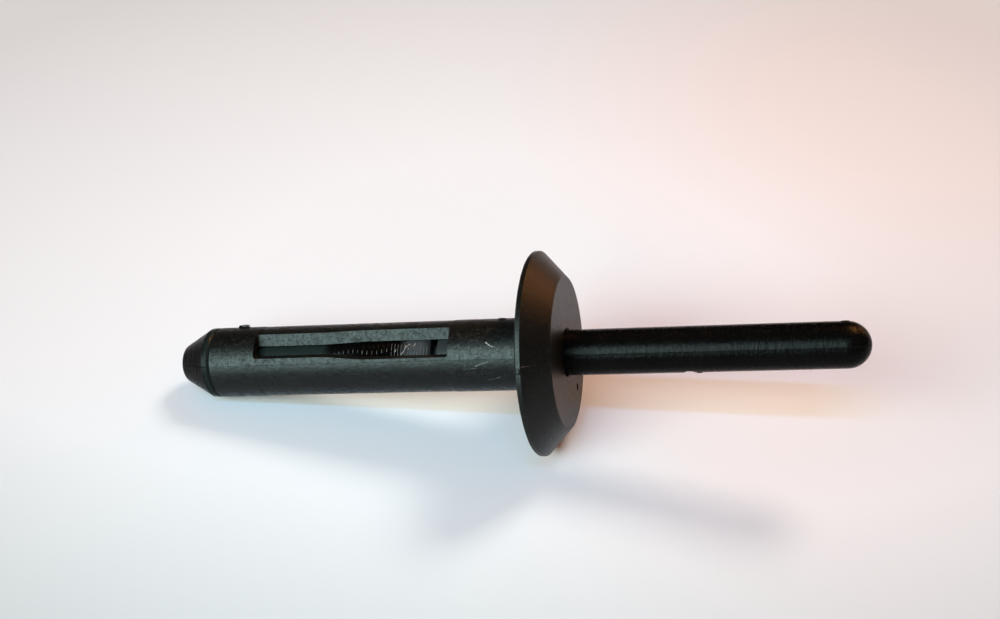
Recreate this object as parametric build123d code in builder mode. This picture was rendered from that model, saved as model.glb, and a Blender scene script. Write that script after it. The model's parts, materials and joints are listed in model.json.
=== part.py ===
from build123d import *

import os
from math import atan2, cos, degrees, radians, sin, tan

# A pull-type blind rivet moulded in black nylon, not yet set.
#
# It is two mouldings. The sleeve is a slotted tube with a wide, flat-topped head. The mandrel
# runs through it: its nose closes the far end of the sleeve, a toothed plug waits inside the
# legs, and the stem stands out of the head for the tool to pull. Pulling the stem folds the
# legs outwards, draws the plug into the head's bore, and snaps the mandrel at its neck.
#
# Depths run along the rivet's axis from the flat top of the head: positive towards the nose,
# negative out along the stem. All sizes are in millimetres and degrees.

# Sleeve, outside
sleeve_diameter = 6.4
grip_length = 30.4          # tube under the head
neck_length = 7.5           # unslotted tube next to the head
end_ring_length = 4.5       # unslotted tube next to the nose
leg_relief = 0.03           # the legs' skin lies this much inside the tube's
relief_run = 0.3            # length of the slope into that relief
end_chamfer = 0.15          # where the sleeve meets the nose

# Head
head_diameter = 18.0
head_height = 2.55
rim_thickness = 0.55
face_diameter = 13.4        # flat top, inside the cone
rim_chamfer = 0.1
face_round = 0.2
root_chamfer = 0.15         # where the tube meets the bearing face
pit_diameter = 0.66         # round sink in the flat top
pit_depth = 0.12
pit_distance = 4.75         # from the axis
pit_angle = 228.0           # round the axis from the parting line

# Slots. Each is cut by one mould half, so it has a floor beside the parting plane and an
# upright wall square to it. The legs stand further apart where they pass over the plug.
# The floor's height is measured at the skin.
slot_count = 2
floor_height = 0.58         # of the slot's floor over the parting plane
floor_slope = 10.0          # the floor rises towards the axis
wall_distance = 1.75        # of the slot's wall from the axis
floor_easing = 0.30         # how much lower the floor lies beside the plug
wall_easing = 0.14          # how much nearer to the axis the wall lies there
slot_corner_round = 0.25    # at both ends of the slot
slot_corner_steps = 3

# Mandrel, from the stem's free end to the nose
stem_diameter = 4.0
stem_reach = 25.8           # from the head's flat top to the round end
setting_stroke = 12.0       # pull that brings the neck level with the flat top
neck_diameter = 2.2         # the section that snaps
neck_groove = 0.6
neck_slope = 0.08           # part of the groove that slopes up to the stem
plug_diameter = 4.5
plug_length = 9.65
plug_taper = 3.55
tooth_height = 0.25
fine_zone = 3.6             # blunt end of the plug, with the finer teeth
fine_teeth = 12
coarse_teeth = 13
tooth_back = 0.2            # share of a tooth's pitch: the steep back that faces the nose
shank_diameter = 3.75       # between the plug and the nose
nose_diameter = 6.4
nose_length = 3.4
nose_land = 0.6             # cylinder behind the cone
nose_half_angle = 30.0
nose_tip_round = 0.6
shoulder_chamfer = 0.15

# Moulding gates, broken off
sleeve_gate_from_end = 2.6  # along the end ring
sleeve_gate_height = 0.2
sleeve_gate_length = 1.7
sleeve_gate_width = 1.1
gate_top_share = 0.4        # the torn top is this share of the gate's foot
stem_gate_reach = 10.6      # from the head's flat top
stem_gate_length = 1.05
stem_gate_width = 1.55      # across the stem
stem_gate_depth = 0.14      # this gate tore out and left a sink
stem_gate_turn = 7.0        # round the stem, from square to the parting plane
stem_nub_diameter = 0.5     # torn up beside it, towards the round end
stem_nub_height = 0.05
stem_nub_offset = 0.85      # between the middles of the sink and the nub

# Clearances
stem_clearance = 0.10       # all round, in the neck's bore
plug_clearance = 0.10       # all round, in the legs' bore
seat_gap = 0.03             # between the sleeve's end and the nose's shoulder
lead_in = 0.5               # slope that guides the plug into the neck's bore
mouth_chamfer = 0.12

# How the rivet is turned on its own axis: the parting plane, above level
parting_turn = 31.0

# Radii and depths that follow
sleeve_radius = sleeve_diameter / 2
head_radius = head_diameter / 2
stem_radius = stem_diameter / 2
plug_radius = plug_diameter / 2
shank_radius = shank_diameter / 2
nose_radius = nose_diameter / 2
neck_bore_radius = stem_radius + stem_clearance
leg_bore_radius = plug_radius + plug_clearance

slot_start = head_height + neck_length
sleeve_end = head_height + grip_length
slot_end = sleeve_end - end_ring_length
plug_end = setting_stroke
plug_start = plug_end + plug_length
shoulder = sleeve_end + seat_gap
cone_start = shoulder + nose_land
nose_tip = shoulder + nose_length
nose_tip_radius = nose_radius - (nose_length - nose_land) * tan(radians(nose_half_angle))

# How it lies: on the rim of the head and on the corner behind the nose's cone
rim_contact_depth = head_height - rim_chamfer
tilt = degrees(atan2(head_radius - nose_radius, cone_start - rim_contact_depth))
tilt_cos = cos(radians(tilt))
tilt_sin = sin(radians(tilt))

# The origin is under the middle of the rivet, on the surface that it lies on. The length
# runs from the nose's rounding, on its upper side, to the round end of the stem.
tip_arc_depth = nose_tip - nose_tip_round
tip_arc_radius = (
    nose_radius
    - (tip_arc_depth - cone_start) * tan(radians(nose_half_angle))
    - nose_tip_round / cos(radians(nose_half_angle))
)
reach_ahead = (stem_reach - stem_radius) * tilt_cos + stem_radius
reach_behind = tip_arc_depth * tilt_cos + tip_arc_radius * tilt_sin + nose_tip_round
face_x = (reach_behind - reach_ahead) / 2
face_z = rim_contact_depth * tilt_sin + head_radius * tilt_cos
face_center = Vector(face_x, 0, face_z)

# Directions of the lying rivet: inward runs from the head to the nose, parting lies in the
# parting plane of the mould, and crown is square to that plane.
inward = Vector(-tilt_cos, 0, -tilt_sin)
turning = Axis((0, 0, 0), inward)
parting = Vector(0, -1, 0).rotate(turning, parting_turn)
crown = inward.cross(parting)

rivet_axis = Axis(face_center, inward)
across = Plane(origin=face_center, x_dir=parting, z_dir=inward)
half_section = Plane(origin=face_center, x_dir=parting, z_dir=crown * -1)
upper_mould = Plane(origin=face_center, x_dir=inward, z_dir=crown)
gate_side = crown.rotate(turning, stem_gate_turn) * -1
stem_gate_plane = Plane(origin=face_center, x_dir=inward, z_dir=gate_side)


def plug_share(depth):
    """How far the plug has grown from shank to full diameter, 0 to 1."""
    return min(1.0, (plug_start - depth) / plug_taper)


def crest_radius(depth):
    return shank_radius + (plug_radius - shank_radius) * plug_share(depth)


def root_radius(depth):
    return shank_radius + (plug_radius - tooth_height - shank_radius) * plug_share(depth)


def teeth_outline():
    """Radius and depth of the plug's teeth, from the shank to the blunt end."""
    zones = (
        (plug_start, plug_length - fine_zone, coarse_teeth),
        (plug_end + fine_zone, fine_zone, fine_teeth),
    )
    points = [(shank_radius, plug_start)]
    for zone_start, zone_length, teeth in zones:
        pitch = zone_length / teeth
        for tooth in range(teeth):
            crest = zone_start - (tooth + tooth_back) * pitch
            root = zone_start - (tooth + 1) * pitch
            points.append((crest_radius(crest), crest))
            points.append((root_radius(root), root))
    return points


# Sleeve: head, neck, legs and end ring are turned as one profile round the axis
leg_radius = sleeve_radius - leg_relief
sleeve_profile = [
    (neck_bore_radius + mouth_chamfer, 0),
    (face_diameter / 2, 0),
    (head_radius - rim_chamfer, head_height - rim_thickness),
    (head_radius, head_height - rim_thickness + rim_chamfer),
    (head_radius, head_height - rim_chamfer),
    (head_radius - rim_chamfer, head_height),
    (sleeve_radius + root_chamfer, head_height),
    (sleeve_radius, head_height + root_chamfer),
    (sleeve_radius, slot_start),
    (leg_radius, slot_start + relief_run),
    (leg_radius, slot_end - relief_run),
    (sleeve_radius, slot_end),
    (sleeve_radius, sleeve_end - end_chamfer),
    (sleeve_radius - end_chamfer, sleeve_end),
    (leg_bore_radius, sleeve_end),
    (leg_bore_radius, slot_start),
    (neck_bore_radius, slot_start - lead_in),
    (neck_bore_radius, mouth_chamfer),
]


def corner_sections(end, towards, eased):
    """Sections of a slot from its end wall to where its corners have run out."""
    sections = []
    for step in range(slot_corner_steps + 1):
        turn = radians(90 * step / slot_corner_steps)
        depth = end + towards * slot_corner_round * (1 - cos(turn))
        sections.append((depth, eased, slot_corner_round * (1 - sin(turn))))
    return sections


# Sections of the slot: depth, whether the legs are eased apart there, and what the rounding
# of the corners takes off
slot_sections = (
    *corner_sections(slot_start, 1, True),
    (plug_start - plug_taper, True, 0),
    (plug_start, False, 0),
    *reversed(corner_sections(slot_end, -1, False)),
)

with BuildPart() as sleeve:
    with BuildSketch(half_section):
        with BuildLine():
            Polyline(*sleeve_profile, close=True)
        make_face()
    revolve(axis=rivet_axis)

    # The flat top runs into the cone over a soft edge
    circles = sleeve.edges().filter_by(GeomType.CIRCLE)
    face_edges = [e for e in circles if abs(e.radius - face_diameter / 2) < face_round]
    fillet(face_edges, face_round)

    # Slots, alike and half a turn apart, so that the two legs balance
    for slot in range(slot_count):
        slot_side = parting.rotate(turning, slot * 360 / slot_count)
        slot_plane = Plane(origin=face_center, x_dir=slot_side, z_dir=inward)
        for depth, eased, inset in slot_sections:
            wall = wall_distance - (wall_easing if eased else 0) + inset
            floor = floor_height - (floor_easing if eased else 0) + inset
            inner_rise = (sleeve_radius - wall) * tan(radians(floor_slope))
            outer_drop = (sleeve_diameter - sleeve_radius) * tan(radians(floor_slope))
            with BuildSketch(slot_plane.offset(depth)):
                with BuildLine():
                    Polyline(
                        (wall, floor + inner_rise),
                        (wall, sleeve_diameter),
                        (sleeve_diameter, sleeve_diameter),
                        (sleeve_diameter, floor - outer_drop),
                        close=True,
                    )
                make_face()
        loft(ruled=True, mode=Mode.SUBTRACT)

    # Round sink in the flat top
    with BuildSketch(across):
        with PolarLocations(pit_distance, 1, start_angle=pit_angle):
            Circle(pit_diameter / 2)
    extrude(amount=pit_depth, mode=Mode.SUBTRACT)

    # Broken gate on the end ring, torn towards the nose
    gate_depth = sleeve_end - sleeve_gate_from_end
    gate_lean = sleeve_gate_length * (1 - gate_top_share) / 4
    with BuildSketch(upper_mould.offset(sleeve_radius - sleeve_gate_height)):
        with Locations((gate_depth, 0)):
            Ellipse(sleeve_gate_length / 2, sleeve_gate_width / 2)
    with BuildSketch(upper_mould.offset(sleeve_radius + sleeve_gate_height)):
        with Locations((gate_depth + gate_lean, 0)):
            Ellipse(
                gate_top_share * sleeve_gate_length / 2,
                gate_top_share * sleeve_gate_width / 2,
            )
    loft()

sleeve.part.label = "sleeve"


# Mandrel: one profile from the nose to the round end of the stem
groove_end = plug_end - neck_groove
stem_center_depth = stem_radius - stem_reach
mandrel_profile = [
    (0, nose_tip),
    (nose_tip_radius, nose_tip),
    (nose_radius, cone_start),
    (nose_radius, shoulder + shoulder_chamfer),
    (nose_radius - shoulder_chamfer, shoulder),
    (shank_radius, shoulder),
    *teeth_outline(),
    (neck_diameter / 2, plug_end),
    (neck_diameter / 2, groove_end + neck_slope),
    (stem_radius, groove_end),
    (stem_radius, stem_center_depth),
]

with BuildPart() as mandrel:
    with BuildSketch(half_section):
        with BuildLine():
            Polyline(*mandrel_profile)
            CenterArc((0, stem_center_depth), stem_radius, 0, -90)
            Line((0, -stem_reach), (0, nose_tip))
        make_face()
    revolve(axis=rivet_axis)

    tip_edge = mandrel.edges().filter_by(GeomType.CIRCLE).sort_by(rivet_axis)[-1]
    fillet(tip_edge, nose_tip_round)

    # Torn gate on the stem, in the other mould half: an oval sink and a nub beside it
    with BuildSketch(stem_gate_plane.offset(stem_radius - stem_gate_depth)):
        with Locations((-stem_gate_reach, 0)):
            Ellipse(stem_gate_length / 2, stem_gate_width / 2)
    extrude(amount=stem_gate_depth, mode=Mode.SUBTRACT)
    with BuildSketch(stem_gate_plane.offset(stem_radius / 2)):
        with Locations((-stem_gate_reach - stem_nub_offset, 0)):
            Circle(stem_nub_diameter / 2)
    extrude(amount=stem_radius / 2 + stem_nub_height)

mandrel.part.label = "mandrel"


os.makedirs("parts", exist_ok=True)
export_step(sleeve.part, "parts/sleeve.step")
export_step(mandrel.part, "parts/mandrel.step")

print(f"tilt {tilt:.2f}, middle of the flat top at {face_center}")
for piece in (sleeve, mandrel):
    box = piece.part.bounding_box()
    print(f"{piece.part.label}: {piece.part.volume:.1f} mm3, {box.min} to {box.max}")
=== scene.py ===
# %% [markdown]
# # A black nylon blind rivet on pale paper
# The rivet is two mouldings: a slotted sleeve with a wide head, and the mandrel that runs through
# it. Their shape comes ready made from the CAD frame. Here they get their finish, the marks that
# moulding leaves, and the light that shows them.

import json
from math import asin, cos, pi, radians, sin

import bpy
from mathutils import Matrix, Vector


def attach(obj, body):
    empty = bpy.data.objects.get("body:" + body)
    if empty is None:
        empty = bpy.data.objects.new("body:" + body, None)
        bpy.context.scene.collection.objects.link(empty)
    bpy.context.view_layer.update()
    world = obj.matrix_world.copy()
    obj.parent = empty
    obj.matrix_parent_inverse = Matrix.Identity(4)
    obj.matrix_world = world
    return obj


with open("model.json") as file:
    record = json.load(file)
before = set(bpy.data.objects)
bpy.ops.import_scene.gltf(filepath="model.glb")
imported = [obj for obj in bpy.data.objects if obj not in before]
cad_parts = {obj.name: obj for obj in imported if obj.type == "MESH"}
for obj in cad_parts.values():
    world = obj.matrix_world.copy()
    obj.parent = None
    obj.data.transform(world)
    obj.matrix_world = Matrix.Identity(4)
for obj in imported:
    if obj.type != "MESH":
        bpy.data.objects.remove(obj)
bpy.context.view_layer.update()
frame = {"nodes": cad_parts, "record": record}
sleeve = frame["nodes"]["sleeve"]
mandrel = frame["nodes"]["mandrel"]

# %% [markdown]
# ## Finding places on the rivet
# A turned part is easiest to describe by depth along its axis, radius, and angle round it. The
# frame's record says where the stem is, so the axis is read from there. Depth 0 is the head's flat
# top, positive towards the nose. Angle 0 lies in the plane where the two mould halves met.

# %% Axis and directions
mm = 0.001
parting_turn = 31.0
mounts = {mount["name"]: mount for mount in frame["record"]["mounts"]}
stem_mount = mounts["pulling_stem"]
outward = Vector(stem_mount["axis"]).normalized()
inward = -outward
stem_length = stem_mount["dims"]["length_mm"]
stem_radius = stem_mount["dims"]["r_mm"]
tube_radius = mounts["shank"]["dims"]["r_mm"]
tilt = asin(outward.z)
face_center = Vector(stem_mount["pos_m"]) - outward * stem_length / 2 * mm
parting = Matrix.Rotation(radians(parting_turn), 3, inward) @ Vector((0, -1, 0))
crown = inward.cross(parting)


def spot(depth, radius, angle):
    """A point of the rivet in metres, from millimetres and degrees."""
    side = parting * cos(radians(angle)) + crown * sin(radians(angle))
    return face_center + (inward * depth + side * radius) * mm


print("middle of the flat top", [round(v * 1000, 3) for v in face_center])

# %% [markdown]
# ## Small helpers for materials
# Each material is a chain of nodes. These helpers add one node and join it up, so that a recipe
# further down reads as a list of what the surface has.


# %% Material helpers
def new_material(name):
    material = bpy.data.materials.new(name)
    material.use_nodes = True
    nodes = material.node_tree.nodes
    links = material.node_tree.links
    return material, nodes, links, nodes["Principled BSDF"]


def noise(nodes, links, vector, scale, detail=3.0, roughness=0.55, distortion=0.0):
    node = nodes.new("ShaderNodeTexNoise")
    node.inputs["Scale"].default_value = scale
    node.inputs["Detail"].default_value = detail
    node.inputs["Roughness"].default_value = roughness
    node.inputs["Distortion"].default_value = distortion
    links.new(vector, node.inputs["Vector"])
    return node.outputs["Fac"]


def spread(nodes, links, value, low, high, to_low=0.0, to_high=1.0):
    """Stretches the part of a value between low and high over a new range."""
    node = nodes.new("ShaderNodeMapRange")
    node.inputs["From Min"].default_value = low
    node.inputs["From Max"].default_value = high
    node.inputs["To Min"].default_value = to_low
    node.inputs["To Max"].default_value = to_high
    links.new(value, node.inputs["Value"])
    return node.outputs["Result"]


def mixed(nodes, links, share, first, second):
    """A colour between two, where each is a colour or the output of a node."""
    node = nodes.new("ShaderNodeMix")
    node.data_type = "RGBA"
    links.new(share, node.inputs["Factor"])
    for place, colour in ((6, first), (7, second)):
        if isinstance(colour, tuple):
            node.inputs[place].default_value = (*colour, 1.0)
        else:
            links.new(colour, node.inputs[place])
    return node.outputs[2]


def bumped(nodes, links, height, distance, strength, below=None):
    node = nodes.new("ShaderNodeBump")
    node.inputs["Distance"].default_value = distance
    node.inputs["Strength"].default_value = strength
    links.new(height, node.inputs["Height"])
    if below is not None:
        links.new(below, node.inputs["Normal"])
    return node.outputs["Normal"]


def along_rivet(nodes, links, stretch=(1.0, 1.0, 1.0)):
    """Object coordinates turned so that X runs along the rivet's axis."""
    place = nodes.new("ShaderNodeTexCoord")
    turn = nodes.new("ShaderNodeMapping")
    turn.inputs["Rotation"].default_value = (0.0, tilt, 0.0)
    turn.inputs["Scale"].default_value = stretch
    links.new(place.outputs["Object"], turn.inputs["Vector"])
    return turn.outputs["Vector"]


def summed(nodes, links, operation, first, second):
    """Joins two values, or a value and a number, by one sum."""
    node = nodes.new("ShaderNodeMath")
    node.operation = operation
    for place, value in enumerate((first, second)):
        if isinstance(value, float):
            node.inputs[place].default_value = value
        else:
            links.new(value, node.inputs[place])
    return node.outputs[0]


def between(nodes, links, vector, near, far, soft):
    """1 between two depths of the rivet and 0 outside them, in millimetres."""
    split = nodes.new("ShaderNodeSeparateXYZ")
    links.new(vector, split.inputs["Vector"])
    top = face_center.dot(outward)
    rise = spread(nodes, links, split.outputs["X"], top - near * mm, top - (near + soft) * mm)
    fall = spread(nodes, links, split.outputs["X"], top - far * mm, top - (far - soft) * mm)
    return summed(nodes, links, "MULTIPLY", rise, fall)


print("material helpers ready")

# %% [markdown]
# ## Satin nylon for the sleeve
# The sleeve's mould was lightly spark-eroded, which leaves a fine even grain with coarser flecks in
# it. Handling in a box of rivets adds faint scuffs, which are paler and rougher than the skin around
# them. The grain is bump, since it's far smaller than anything worth modelling.

# %% Sleeve material
sleeve_nylon, nodes, links, skin = new_material("sleeve_nylon")
here = along_rivet(nodes, links)
grain = noise(nodes, links, here, 9000, detail=4.0, roughness=0.7)
flecks = noise(nodes, links, here, 3600, detail=3.0, roughness=0.6)
mottle = noise(nodes, links, here, 420, detail=4.0)
long_way = along_rivet(nodes, links, stretch=(0.12, 1.0, 1.0))
scuff = noise(nodes, links, long_way, 2600, detail=5.0, roughness=0.65, distortion=0.4)
scuff_share = spread(nodes, links, scuff, 0.62, 0.74)
fleck_share = spread(nodes, links, flecks, 0.62, 0.74, 0.0, 0.6)
deep = mixed(nodes, links, mottle, (0.003, 0.0036, 0.0035), (0.006, 0.007, 0.0065))
worn = mixed(nodes, links, scuff_share, deep, (0.015, 0.016, 0.015))
flecked = mixed(nodes, links, fleck_share, worn, (0.032, 0.035, 0.033))
links.new(flecked, skin.inputs["Base Color"])
# The tube's shine is patchy. The head's part of the mould was left evener and duller
tube_start, past_nose = 2.6, 40.0
tube_part = between(nodes, links, here, tube_start, past_nose, 0.1)
patches = noise(nodes, links, here, 1500, detail=2.0)
uneven = spread(nodes, links, patches, 0.4, 0.6, 0.0, 0.1)
uneven = summed(nodes, links, "ADD", uneven, spread(nodes, links, flecks, 0.5, 0.65, 0.0, 0.25))
uneven = summed(nodes, links, "MULTIPLY", uneven, tube_part)
shine = summed(nodes, links, "ADD", uneven, spread(nodes, links, scuff, 0.35, 0.75, 0.31, 0.41))
shine = summed(nodes, links, "SUBTRACT", shine, summed(nodes, links, "MULTIPLY", tube_part, 0.07))
links.new(shine, skin.inputs["Roughness"])
skin.inputs["IOR"].default_value = 1.25
soft_waves = bumped(nodes, links, mottle, 0.00004, 0.25)
flecked_skin = bumped(nodes, links, flecks, 0.00004, 0.6, soft_waves)
links.new(bumped(nodes, links, grain, 0.000024, 0.9, flecked_skin), skin.inputs["Normal"])
print(sleeve_nylon.name, len(nodes), "nodes")

# %% [markdown]
# ## Smoother nylon for the mandrel
# The stem's mould was polished, because the stem has to slide. Its skin is glossier, with very fine
# rings across it and a few pits, which break the long highlight into small dashes. The shank and the
# plug are a little duller, and where the plug's fine teeth rub in the sleeve they have greyed.

# %% Mandrel material
mandrel_nylon, nodes, links, skin = new_material("mandrel_nylon")
here = along_rivet(nodes, links)
across_way = along_rivet(nodes, links, stretch=(1.0, 0.25, 0.25))
rings = noise(nodes, links, across_way, 3600, detail=3.0, roughness=0.6)
pits = noise(nodes, links, here, 5200, detail=4.0, roughness=0.7)
cloud = noise(nodes, links, here, 350, detail=3.0)
# Depths at which its finish changes, from the head to the nose
neck_inside, plug_face, fine_end, taper_start, nose_back = 9.2, 11.9, 14.9, 21.6, 33.8
inside = between(nodes, links, here, neck_inside, nose_back, 0.8)
behind_head = between(nodes, links, here, neck_inside, plug_face, 0.1)
fine_part = between(nodes, links, here, plug_face - 0.1, fine_end, 1.0)
shank_part = between(nodes, links, here, taper_start, nose_back, 0.8)
deep = mixed(nodes, links, cloud, (0.0015, 0.0016, 0.0016), (0.003, 0.003, 0.0028))
# The shank and the stem behind the head get lighter colours: painted sheen where they show in the slots
skin_and_sheen_colour = mixed(nodes, links, shank_part, deep, (0.014, 0.023, 0.021))
skin_and_sheen_colour = mixed(nodes, links, behind_head, skin_and_sheen_colour, (0.03, 0.037, 0.038))
greyed = mixed(nodes, links, cloud, (0.06, 0.075, 0.08), (0.10, 0.125, 0.13))
skin_and_sheen_colour = mixed(nodes, links, fine_part, skin_and_sheen_colour, greyed)
pit_share = spread(nodes, links, pits, 0.63, 0.8, 0.0, 0.5)
links.new(mixed(nodes, links, pit_share, skin_and_sheen_colour, (0.03, 0.029, 0.027)), skin.inputs["Base Color"])
shine = spread(nodes, links, cloud, 0.3, 0.7, 0.10, 0.22)
shine = summed(nodes, links, "ADD", shine, spread(nodes, links, pits, 0.5, 0.65, 0.0, 0.3))
shine = summed(nodes, links, "ADD", shine, summed(nodes, links, "MULTIPLY", inside, 0.06))
links.new(shine, skin.inputs["Roughness"])
skin.inputs["IOR"].default_value = 1.12
ringed = bumped(nodes, links, rings, 0.00005, 0.9)
links.new(bumped(nodes, links, pits, 0.00003, 0.8, ringed), skin.inputs["Normal"])
print(mandrel_nylon.name, len(nodes), "nodes")

# %% [markdown]
# ## Torn and rubbed nylon, also used for painted glints
# Where nylon is broken or rubbed it turns paler and loses its shine: on the gates, along the fine
# flash between the mould halves, and in scratches. The same pale finishes also paint glints: dots on
# the coarse crests of the plug and specks in the highlight bands of the neck and the stem. The ridge
# along the polished stem is dull but stays black, so it shows as a dark line in the long highlight.

# %% Materials of worn places and painted glints
fine_grain = 0.00001


def worn_material(name, scale, dark, pale, smoothest, roughest):
    """Broken nylon: fibres from dark to pale, rougher where they are paler."""
    material, nodes, links, skin = new_material(name)
    fibres = noise(nodes, links, along_rivet(nodes, links), scale, detail=4.0, roughness=0.7)
    links.new(mixed(nodes, links, fibres, dark, pale), skin.inputs["Base Color"])
    links.new(spread(nodes, links, fibres, 0.3, 0.7, smoothest, roughest), skin.inputs["Roughness"])
    links.new(bumped(nodes, links, fibres, fine_grain, 0.6), skin.inputs["Normal"])
    print(name, len(nodes), "nodes")
    return material


# Both pale finishes also paint glints on the plug's coarse crests, the neck and the stem
torn_nylon = worn_material("torn_nylon", 14000, (0.015, 0.017, 0.017), (0.13, 0.14, 0.135), 0.42, 0.62)
chipped_nylon = worn_material("chipped_nylon", 11000, (0.06, 0.065, 0.065), (0.5, 0.51, 0.49), 0.5, 0.7)
seam_nylon = worn_material(
    "seam_nylon", 8000, (0.0012, 0.0012, 0.0012), (0.004, 0.0042, 0.004), 0.55, 0.75,
)
seam_nylon.node_tree.nodes["Principled BSDF"].inputs["IOR"].default_value = 1.12

# %% Give the two mouldings their materials
for node, material in ((sleeve, sleeve_nylon), (mandrel, mandrel_nylon)):
    for slot in node.material_slots:
        slot.material = material
    print(node.name, [slot.material.name for slot in node.material_slots])

# %% [markdown]
# ## Growing pieces with Geometry Nodes
# Flash, scratches and grain all repeat or follow a path, so a small node tree grows each of them
# from a guide mesh. The result is turned into a plain mesh, because the library keeps meshes.


# %% Geometry Nodes helpers
def new_tree(name, numbers):
    """A tree with a geometry in and out, and named numbers as inputs."""
    tree = bpy.data.node_groups.new(name, "GeometryNodeTree")
    tree.interface.new_socket("Geometry", in_out="INPUT", socket_type="NodeSocketGeometry")
    for label, (kind, value) in numbers.items():
        socket = tree.interface.new_socket(label, in_out="INPUT", socket_type=kind)
        socket.default_value = value
    tree.interface.new_socket("Geometry", in_out="OUTPUT", socket_type="NodeSocketGeometry")
    return tree, tree.nodes.new("NodeGroupInput"), tree.nodes.new("NodeGroupOutput")


def add(tree, kind, **inputs):
    """Adds a node. Each input is a value, or the output of another node to join to it."""
    node = tree.nodes.new(kind)
    for label, value in inputs.items():
        socket = node.inputs[label.replace("_", " ")]
        if isinstance(value, bpy.types.NodeSocket):
            tree.links.new(value, socket)
        else:
            socket.default_value = value
    return node


def finished(tree, group_in, group_out, pieces):
    """Joins what a tree made to one geometry, gives it its finish and hands it out."""
    whole = add(tree, "GeometryNodeRealizeInstances", Geometry=pieces)
    painted = add(
        tree, "GeometryNodeSetMaterial",
        Geometry=whole.outputs["Geometry"], Material=group_in.outputs["Finish"],
    )
    tree.links.new(painted.outputs["Geometry"], group_out.inputs["Geometry"])
    print(tree.name, "tree", len(tree.nodes), "nodes")


def guide(name, points, edges, faces=()):
    mesh = bpy.data.meshes.new(name)
    mesh.from_pydata([tuple(p) for p in points], edges, list(faces))
    return mesh


def chains(name, paths):
    """A guide mesh in which the points of each path are joined one to the next."""
    points, edges = [], []
    for path in paths:
        first = len(points)
        points += path
        edges += [(i, i + 1) for i in range(first, len(points) - 1)]
    return guide(name, points, edges)


def grow(name, mesh, tree, body, material_slot, **values):
    """Runs a tree on a guide mesh and keeps the plain mesh that comes out."""
    source = bpy.data.objects.new(name + "_guide", mesh)
    bpy.context.scene.collection.objects.link(source)
    modifier = source.modifiers.new("grow", "NODES")
    modifier.node_group = tree
    for item in tree.interface.items_tree:
        if item.in_out == "INPUT" and item.name.replace(" ", "_") in values:
            modifier[item.identifier] = values[item.name.replace(" ", "_")]
    shown = source.evaluated_get(bpy.context.evaluated_depsgraph_get())
    grown = bpy.data.meshes.new_from_object(shown)
    bpy.data.objects.remove(source)
    piece = bpy.data.objects.new(name, grown)
    bpy.context.scene.collection.objects.link(piece)
    for polygon in grown.polygons:
        polygon.use_smooth = True
    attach(piece, body)
    print(name, len(grown.polygons), "faces")


# %% Tree that lays a fine uneven bead along a path
bead, group_in, group_out = new_tree(
    "bead",
    {
        "Thickness": ("NodeSocketFloat", 0.00004),
        "Step": ("NodeSocketFloat", 0.0002),
        "Unevenness": ("NodeSocketFloat", 0.6),
        "Seed": ("NodeSocketFloat", 3.0),
        "Finish": ("NodeSocketMaterial", torn_nylon),
    },
)
path = add(bead, "GeometryNodeMeshToCurve", Mesh=group_in.outputs["Geometry"])
even = add(bead, "GeometryNodeResampleCurve", Curve=path.outputs["Curve"])
even.mode = "LENGTH"
bead.links.new(group_in.outputs["Step"], even.inputs["Length"])
# The fourth coordinate of the noise is the seed, so that no two beads are alike
lumps = add(bead, "ShaderNodeTexNoise", Scale=2600)
lumps.noise_dimensions = "4D"
bead.links.new(group_in.outputs["Seed"], lumps.inputs["W"])
uneven = spread(bead.nodes, bead.links, lumps.outputs["Fac"], 0.3, 0.7)
lowest = summed(bead.nodes, bead.links, "SUBTRACT", 1.0, group_in.outputs["Unevenness"])
bead.links.new(lowest, uneven.node.inputs["To Min"])
thick = summed(bead.nodes, bead.links, "MULTIPLY", uneven, group_in.outputs["Thickness"])
sized = add(bead, "GeometryNodeSetCurveRadius", Curve=even.outputs["Curve"], Radius=thick)
profile = add(bead, "GeometryNodeCurvePrimitiveCircle", Resolution=6, Radius=1.0)
# The profile takes its size from the radius at each point of the path
radius = add(bead, "GeometryNodeInputRadius")
tube = add(
    bead, "GeometryNodeCurveToMesh", Curve=sized.outputs["Curve"],
    Profile_Curve=profile.outputs["Curve"], Scale=radius.outputs["Radius"], Fill_Caps=True,
)
finished(bead, group_in, group_out, tube.outputs["Mesh"])

# %% [markdown]
# ## Flash along the parting line
# Two mould halves never close perfectly. A hair of nylon squeezes out between them, so a fine ridge
# follows the outline of each moulding on both sides. The guide is that outline as a chain of points.

# %% Flash of both mouldings
leg_skin = tube_radius - 0.03
# Each outline is a list of depths and radii
cone_outline = [
    (0.05, 6.5), (0.12, 6.78), (2.0, 8.9), (2.1, 9.0), (2.45, 9.0), (2.55, 8.9), (2.55, 3.45),
]
tube_outline = [
    (2.7, tube_radius), (10.05, tube_radius), (10.35, leg_skin), (28.1, leg_skin),
    (28.45, tube_radius), (32.8, tube_radius),
]
tip_arc = []
for bend in range(0, 71, 10):
    depth = -stem_length - stem_radius * sin(radians(bend))
    tip_arc.append((depth, stem_radius * cos(radians(bend))))
stem_outline = [(-0.1, stem_radius), *tip_arc]
nose_outline = [(33.15, tube_radius), (33.58, tube_radius), (35.8, 1.92)]


def outline_guide(name, outlines, sink):
    """The outlines on both sides of the parting plane, sunk a little into the skin."""
    paths = []
    for outline in outlines:
        for angle in (0, 180):
            paths.append([spot(depth, radius - sink, angle) for depth, radius in outline])
    return chains(name, paths)


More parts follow.
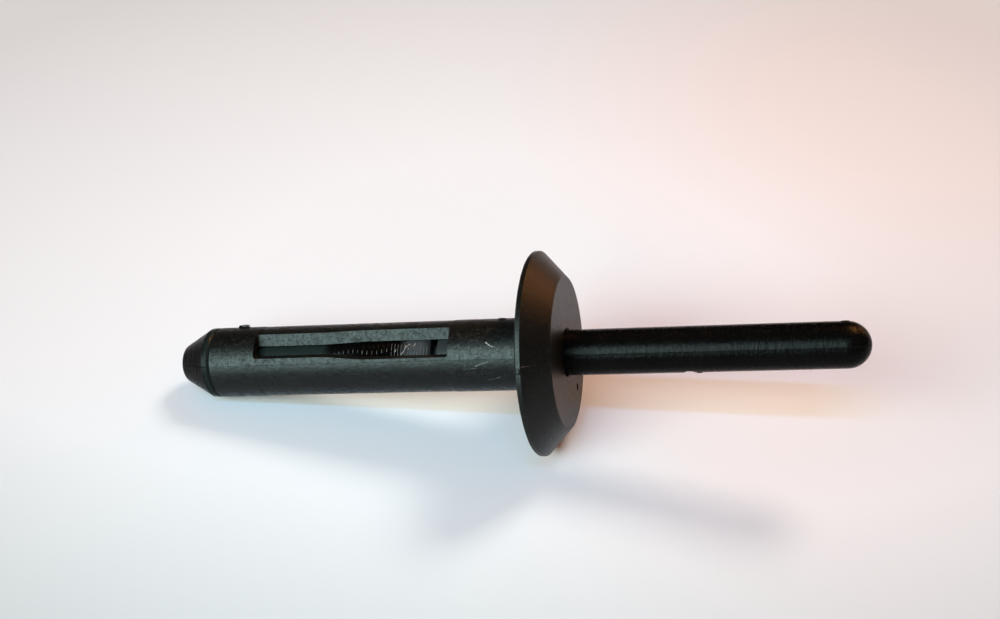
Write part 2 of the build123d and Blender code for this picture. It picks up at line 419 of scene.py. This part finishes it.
grow(
    "cone_flash", outline_guide("cone_outline", [cone_outline], 0.012), bead,
    "sleeve", "sleeve_nylon", Thickness=0.034 * mm, Step=0.25 * mm, Unevenness=0.7, Seed=2.0,
    Finish=torn_nylon,
)
grow(
    "tube_flash", outline_guide("tube_outline", [tube_outline], 0.014), bead,
    "sleeve", "sleeve_nylon", Thickness=0.04 * mm, Step=0.25 * mm, Unevenness=0.6, Seed=3.0,
    Finish=sleeve_nylon,
)
grow(
    "mandrel_flash", outline_guide("mandrel_outline", [stem_outline, nose_outline], 0.016), bead,
    "mandrel", "mandrel_nylon", Thickness=0.06 * mm, Step=0.2 * mm, Unevenness=0.6, Seed=5.0,
    Finish=seam_nylon,
)

# %% [markdown]
# ## Crests on the plug: rubbed ones and painted glints
# The plug was pushed through the sleeve's bore, which rubbed the crests of its fine teeth pale over
# their whole height where the slots leave them in sight. The coarse teeth of the taper carry short pale
# dots instead, which are painted highlights where the window catches their crests. A few flakes were
# torn up where the one kind changes to the other.

# %% Crests in both slots
plug_end, plug_start, plug_taper, fine_zone = 12.0, 21.65, 3.55, 3.6
shank_skin, plug_skin, just_under = 1.875, 2.25, 0.004
# The teeth in each zone, and the place of the crest as a share of one tooth
coarse_teeth, fine_teeth, crest_at = 13, 12, 0.2


def crest_radius(depth):
    """Radius at the crests of the teeth, just under their skin."""
    share = min(1.0, (plug_start - depth) / plug_taper)
    return shank_skin + (plug_skin - shank_skin) * share - just_under


def crest_guide(name, depths, spans):
    """Short arcs over the crests, between pairs of angles, in both slots."""
    paths = []
    for number, depth in enumerate(depths):
        for slot_turn in (0, 180):
            for low, high in spans:
                shift = 3 * sin(7 * number + low)
                angles = range(low, high + 1, 2)
                paths.append([spot(depth, crest_radius(depth), slot_turn + a + shift) for a in angles])
    return chains(name, paths)


def short_paths(name, ends, radius_at, steps, bend=0.0):
    """Short paths on a round skin, each from one depth and angle to another."""
    paths = []
    for depth_a, angle_a, depth_b, angle_b in ends:
        path = []
        for step in range(steps + 1):
            share = step / steps
            depth = depth_a + (depth_b - depth_a) * share
            angle = angle_a + (angle_b - angle_a) * (share + bend * sin(pi * share))
            path.append(spot(depth, radius_at(depth), angle))
        paths.append(path)
    return chains(name, paths)


coarse_zone = plug_start - plug_end - fine_zone
coarse = [plug_start - (tooth + crest_at) * coarse_zone / coarse_teeth for tooth in range(1, coarse_teeth)]
fine = [plug_end + fine_zone - (tooth + crest_at) * fine_zone / fine_teeth for tooth in range(fine_teeth)]
# The pale dots on the coarse crests are painted highlights, where the window's light catches them
grow(
    "coarse_crests", crest_guide("coarse_paths", coarse, [(18, 26)]), bead,
    "mandrel", "mandrel_nylon", Thickness=0.045 * mm, Step=0.05 * mm, Unevenness=0.95, Seed=4.0,
    Finish=torn_nylon,
)
grow(
    "fine_crests", crest_guide("fine_paths", fine, [(6, 20), (22, 40)]), bead,
    "mandrel", "mandrel_nylon", Thickness=0.045 * mm, Step=0.08 * mm, Unevenness=0.9, Seed=6.0,
    Finish=torn_nylon,
)
flakes = [
    # depth, angle, depth, angle, in millimetres and degrees on the crests
    (14.6, 13, 14.3, 24), (14.3, 23, 14.2, 34), (14.2, 30, 13.85, 38), (14.0, 23, 13.9, 29),
    (13.5, 33, 13.3, 39), (15.2, 19, 15.1, 25),
]
grow(
    "torn_flakes", short_paths("flake_paths", flakes, crest_radius, 5), bead,
    "mandrel", "mandrel_nylon", Thickness=0.07 * mm, Step=0.04 * mm, Unevenness=0.9, Seed=7.0,
    Finish=chipped_nylon,
)

# %% [markdown]
# ## Scratches
# A few scratches cross the neck. Each is a short path on the skin, given by depth and angle at both
# ends. Two are gouges, thicker than the rest: a new one, still pale, and an old one that has greyed.

# %% Scratch paths
fine_scratches = [
    # depth, angle, depth, angle, in millimetres and degrees on the tube
    (7.5, -14, 8.7, -15), (9.0, 24, 9.9, 18), (7.9, 31, 8.2, 27), (7.3, 29, 7.6, 32),
    (4.4, 8, 4.9, -2), (5.4, -30, 6.6, -36), (3.7, 20, 4.1, 28), (8.4, -6, 8.7, -15),
]
bright_gouge, grey_gouge = [(6.6, 27, 5.9, 19)], [(7.6, -11, 6.4, -4)]


def scratch_guide(name, scratches, radius):
    """Short bent paths on the tube, all at one radius."""
    return short_paths(name, scratches, lambda depth: radius, 8, bend=0.12)


grow(
    "tube_scratches", scratch_guide("scratch_paths", fine_scratches, tube_radius - 0.008), bead,
    "sleeve", "sleeve_nylon", Thickness=0.03 * mm, Step=0.05 * mm, Unevenness=0.9, Seed=8.0,
)
grow(
    "gouge_new", scratch_guide("new_gouge_path", bright_gouge, tube_radius - 0.03), bead,
    "sleeve", "sleeve_nylon", Thickness=0.11 * mm, Step=0.04 * mm, Unevenness=0.8, Seed=3.0,
    Finish=chipped_nylon,
)
grow(
    "gouge_old", scratch_guide("old_gouge_path", grey_gouge, tube_radius - 0.02), bead,
    "sleeve", "sleeve_nylon", Thickness=0.09 * mm, Step=0.04 * mm, Unevenness=0.8, Seed=6.0,
    Finish=torn_nylon,
)

# %% [markdown]
# ## Grain and painted glints beside the head
# The neck shows small pale specks where the mould was rough. The dense, paler specks in the band
# beside the parting line, and those on the stem near the head, sit where the window's highlight
# falls: they are painted glints. All are scattered on patches of the skin: one tiny bead for each point.

# %% Tree that scatters specks on a patch
specks, group_in, group_out = new_tree(
    "specks",
    {
        "Density": ("NodeSocketFloat", 4.0e6),
        "Smallest": ("NodeSocketFloat", 0.00001),
        "Largest": ("NodeSocketFloat", 0.00004),
        "Seed": ("NodeSocketInt", 11),
        "Finish": ("NodeSocketMaterial", torn_nylon),
    },
)
scattered = add(
    specks, "GeometryNodeDistributePointsOnFaces", Mesh=group_in.outputs["Geometry"],
    Density=group_in.outputs["Density"], Seed=group_in.outputs["Seed"],
)
ball = add(specks, "GeometryNodeMeshIcoSphere", Radius=1.0, Subdivisions=1)
# The node has sockets for several kinds of value, and only those for numbers are wanted
random_sizes = specks.nodes.new("FunctionNodeRandomValue")
sizes_in = [socket for socket in random_sizes.inputs if socket.type == "VALUE"]
specks.links.new(group_in.outputs["Smallest"], sizes_in[0])
specks.links.new(group_in.outputs["Largest"], sizes_in[1])
sizes_out = [socket for socket in random_sizes.outputs if socket.type == "VALUE"][0]
placed = add(
    specks, "GeometryNodeInstanceOnPoints", Points=scattered.outputs["Points"],
    Instance=ball.outputs["Mesh"], Scale=sizes_out,
)
finished(specks, group_in, group_out, placed.outputs["Instances"])


def skin_patch(name, depths, angles, radius):
    """A patch of a round skin, as a grid of faces."""
    rows = [[spot(d, radius, a) for a in angles] for d in depths]
    width = len(angles)
    faces = []
    for row in range(len(depths) - 1):
        for column in range(width - 1):
            corner = row * width + column
            faces.append((corner, corner + 1, corner + width + 1, corner + width))
    return guide(name, [p for row in rows for p in row], [], faces)


neck_depths = [2.9 + 0.5 * step for step in range(15)]
grow(
    "neck_grain", skin_patch("neck_patch", neck_depths, list(range(-40, 61, 10)), tube_radius), specks,
    "sleeve", "sleeve_nylon", Density=6.0e6, Smallest=0.008 * mm, Largest=0.03 * mm, Seed=11,
)
# Pale specks in the neck's highlight band: painted glints
neck_glint_depths = [3.6 + 0.4 * step for step in range(16)]
grow(
    "neck_roughness", skin_patch("rough_patch", neck_glint_depths, list(range(0, 21, 4)), tube_radius), specks,
    "sleeve", "sleeve_nylon", Density=1.3e7, Smallest=0.01 * mm, Largest=0.045 * mm, Seed=5,
    Finish=chipped_nylon,
)

# Pale specks in the stem's highlight near the head: painted glints
stem_depths = [-9.5 + 0.5 * step for step in range(18)]
grow(
    "stem_grain", skin_patch("stem_patch", stem_depths, list(range(-8, 21, 4)), stem_radius), specks,
    "mandrel", "mandrel_nylon", Density=1.1e7, Smallest=0.006 * mm, Largest=0.03 * mm, Seed=9,
    Finish=torn_nylon,
)

# %% [markdown]
# ## Lumps left by the mould
# A gate is where the nylon flowed in. It is broken off afterwards and leaves a torn stub. Smaller
# lumps sit on the rim, on the neck and near the stem's round end. Each is a low dome with an uneven
# skin, made from one formula.


# %% Domes
def dome(name, depth, radius, angle, long_half, wide_half, height, body, material, rise=0.35):
    """A low uneven stub on a round skin, standing outwards from it."""
    side = parting * cos(radians(angle)) + crown * sin(radians(angle))
    sideways = inward.cross(side)
    foot = spot(depth, radius, angle)
    rings, sectors, skirt = 7, 20, -0.35
    points = [foot + side * height * mm]
    for ring in range(1, rings + 1):
        share = ring / rings
        for sector in range(sectors):
            turn = 2 * pi * sector / sectors
            rough = 1 + 0.10 * sin(3 * turn + depth) + 0.07 * sin(7 * turn + 2 * depth)
            lift = (1 - share**2) ** rise if share < 1 else skirt
            ripple = 0.14 * sin(5 * turn + 9 * share + depth) * (1 - share)
            flat = inward * cos(turn) * long_half + sideways * sin(turn) * wide_half
            points.append(foot + (flat * share * rough + side * height * (lift + ripple)) * mm)
    faces = []
    for sector in range(sectors):
        after = (sector + 1) % sectors
        faces.append((0, 1 + sector, 1 + after))
        for ring in range(rings - 1):
            near = 1 + ring * sectors
            far = near + sectors
            faces.append((near + sector, far + sector, far + after, near + after))
    faces.append(tuple(1 + (rings - 1) * sectors + s for s in reversed(range(sectors))))
    piece = bpy.data.objects.new(name, guide(name, points, [], faces))
    bpy.context.scene.collection.objects.link(piece)
    piece.data.materials.append(material)
    for polygon in piece.data.polygons:
        polygon.use_smooth = True
    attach(piece, body)
    return piece


domes = [
    # name, depth, radius, angle, half length, half width, height, body, material
    dome("gate_stub", 30.35, 3.35, 90, 0.42, 0.3, 0.1, "sleeve", torn_nylon),
    dome("neck_bump", 5.7, 3.19, 84, 0.42, 0.3, 0.09, "sleeve", sleeve_nylon),
    dome("rim_nub", 2.27, 8.97, -2.6, 0.22, 0.26, 0.12, "sleeve", sleeve_nylon),
    dome("stem_bump", -23.7, 1.98, 88, 0.4, 0.3, 0.06, "mandrel", mandrel_nylon),
    dome("stem_scar", -10.6, 1.85, -83, 0.38, 0.5, 0.05, "mandrel", torn_nylon),
]
print([piece.name for piece in domes])

# %% [markdown]
# ## Floor
# A sheet of pale paper, a cool white. Light and shade are painted on it: a faint pink light in two
# soft patches on the right, a bluer cool light at the front, painted shade in a greyer patch under the
# stem, and painted shade that greys it a little towards its edges. Each of these is a colour that
# comes or goes with the distance from one place. The paper's surface is softly fibrous.

# %% Floor
paper, nodes, links, skin = new_material("paper")
place = nodes.new("ShaderNodeTexCoord").outputs["Object"]


def away_from(middle_x, middle_y, near, far, to_near, to_far):
    """A value that changes with the distance from a place on the floor, in metres."""
    apart = nodes.new("ShaderNodeVectorMath")
    apart.operation = "DISTANCE"
    links.new(place, apart.inputs[0])
    apart.inputs[1].default_value = (middle_x, middle_y, 0.0)
    return spread(nodes, links, apart.outputs["Value"], near, far, to_near, to_far)


# Painted light and shade: shade under the stem, two pink light pools, cool light at the front, shade
# towards the edges
patches = [
    # middle of the patch, near and far distance from it, share at both, colour
    ((0.02, 0.002), (0.005, 0.03), (1.0, 0.0), (0.79, 0.80, 0.83)),
    ((0.042, 0.07), (0.02, 0.055), (0.30, 0.0), (0.98, 0.62, 0.52)),
    ((0.045, 0.02), (0.005, 0.03), (0.2, 0.0), (0.60, 0.48, 0.44)),
    ((-0.02, -0.06), (0.03, 0.07), (1.0, 0.0), (0.74, 0.93, 1.0)),
    ((-0.004, 0.016), (0.03, 0.09), (0.0, 0.5), (0.40, 0.45, 0.47)),
    ((-0.01, 0.10), (0.112, 0.14), (0.0, 0.42), (0.25, 0.28, 0.27)),
]
paper_and_painted_light = (0.78, 0.88, 0.94)
for middle, reach, shares, tint in patches:
    paper_and_painted_light = mixed(nodes, links, away_from(*middle, *reach, *shares), paper_and_painted_light, tint)
links.new(paper_and_painted_light, skin.inputs["Base Color"])
skin.inputs["Roughness"].default_value = 0.9
skin.inputs["Specular IOR Level"].default_value = 0.0
fibre = noise(nodes, links, place, 900, detail=5.0, roughness=0.6)
links.new(bumped(nodes, links, fibre, 0.0001, 0.12), skin.inputs["Normal"])
bpy.ops.mesh.primitive_plane_add(size=1.6, location=(0, 0, 0))
floor = bpy.context.object
floor.name = "floor"
floor.data.materials.append(paper)
print("floor", tuple(round(v, 2) for v in floor.dimensions))

# %% [markdown]
# ## Light
# The shadows tell where the light comes from. A long one falls to the near left, so a warm lamp
# stands behind on the right. The floor beside the head is orange, because the head keeps a cool
# window at the front left from it and only the warm room fills it. The orange ends in a sharp edge:
# that is the shadow of the stem from a high, thin window, which must lie along the stem, since only
# a lamp along the edge that throws the shadow leaves it sharp.
# Black nylon shows its lamps as highlights. The size of a highlight and the depth of a shadow ask
# for different lamps here, so panels that only reflections see draw the highlights.


# %% Lamps
aim = Vector((0, 0, 0.01))


def panel(name, direction, distance, width, height, power, colour, unseen_by=(), along=None):
    """A soft lamp that looks at the aim. Some kinds of ray can be told to pass it by."""
    light = bpy.data.lights.new(name, "AREA")
    light.shape = "RECTANGLE"
    light.size = width
    light.size_y = height
    light.energy = power
    light.color = colour
    lamp = bpy.data.objects.new(name, light)
    towards = Vector(direction).normalized()
    lamp.location = aim + towards * distance
    lamp.rotation_mode = "QUATERNION"
    facing = towards.to_track_quat("Z", "Y")
    if along is not None:
        wide = (along - towards * along.dot(towards)).normalized()
        facing = Matrix((wide, towards.cross(wide), towards)).transposed().to_quaternion()
    lamp.rotation_quaternion = facing
    lamp.visible_diffuse = "diffuse" not in unseen_by
    lamp.visible_glossy = "glossy" not in unseen_by
    bpy.context.scene.collection.objects.link(lamp)
    return lamp


lamps = [
    # name, direction, distance, width and height in metres, watts, colour, rays that pass it by
    panel("back_lamp", (0.33, 0.53, 0.79), 0.6, 0.17, 0.17, 1.63, (1.0, 0.843, 0.719), ("glossy",)),
    panel("back_glow", (0.33, 0.53, 0.79), 0.6, 0.10, 0.07, 6.2, (1.0, 0.423, 0.1), ("diffuse",)),
    panel("window", (-0.36, -0.74, 0.57), 0.8, 0.56, 0.3, 6.57, (0.854, 1.0, 0.93), ("glossy",)),
    panel("high_window", (-0.03, -0.545, 0.845), 0.8, 0.4, 0.03, 1.9, (0.175, 0.54, 1.0),
          ("glossy",), outward),
    panel("window_glow", (-0.46, -0.74, 0.49), 0.6, 0.42, 0.47, 11.8, (0.70, 1.0, 0.975), ("diffuse",)),
    panel("warm_wall", (0.62, 0.73, 0.33), 0.6, 0.28, 0.2, 0.9, (1.0, 0.412, 0.15), ("diffuse",)),
]
world = bpy.data.worlds.new("room")
bpy.context.scene.world = world
world.use_nodes = True
nodes, links = world.node_tree.nodes, world.node_tree.links
# The room's light is orange, but whoever looks past the floor sees a pale wall
rays = nodes.new("ShaderNodeLightPath").outputs
looked_at = summed(nodes, links, "MAXIMUM", rays["Is Camera Ray"], rays["Is Glossy Ray"])
looked_at = summed(nodes, links, "MAXIMUM", looked_at, rays["Is Transmission Ray"])
room = mixed(nodes, links, looked_at, (0.384, 0.093, 0.004), (0.62, 0.60, 0.60))
links.new(room, nodes["Background"].inputs["Color"])
# The panels alone draw the highlights on this rivet, so its shine passes the world by
world.cycles_visibility.glossy = False
print([lamp.name for lamp in lamps])

# %% [markdown]
# ## Camera
# The camera looks down on the rivet by about 37 degrees, a little from the stem's side. Its place
# was worked out from the circles of the head and the straight edges of the tube.

# %% Camera
camera_data = bpy.data.cameras.new("camera")
camera_data.sensor_width = 36.0
camera_data.lens = 52.03
camera_data.clip_start = 0.005
camera_data.clip_end = 10.0
camera = bpy.data.objects.new("camera", camera_data)
camera.location = (0.0180576, -0.0973157, 0.0891626)
looking = Vector((-0.150400, 0.779287, -0.608351))
roll = Matrix.Rotation(radians(-0.195), 4, "Z")
camera.rotation_mode = "QUATERNION"
facing = looking.to_track_quat("-Z", "Y").to_matrix().to_4x4() @ roll
camera.rotation_quaternion = facing.to_quaternion()
bpy.context.scene.collection.objects.link(camera)
bpy.context.scene.camera = camera
bpy.context.scene.view_settings.view_transform = "Standard"
print("camera", tuple(round(v * 1000, 1) for v in camera.location))
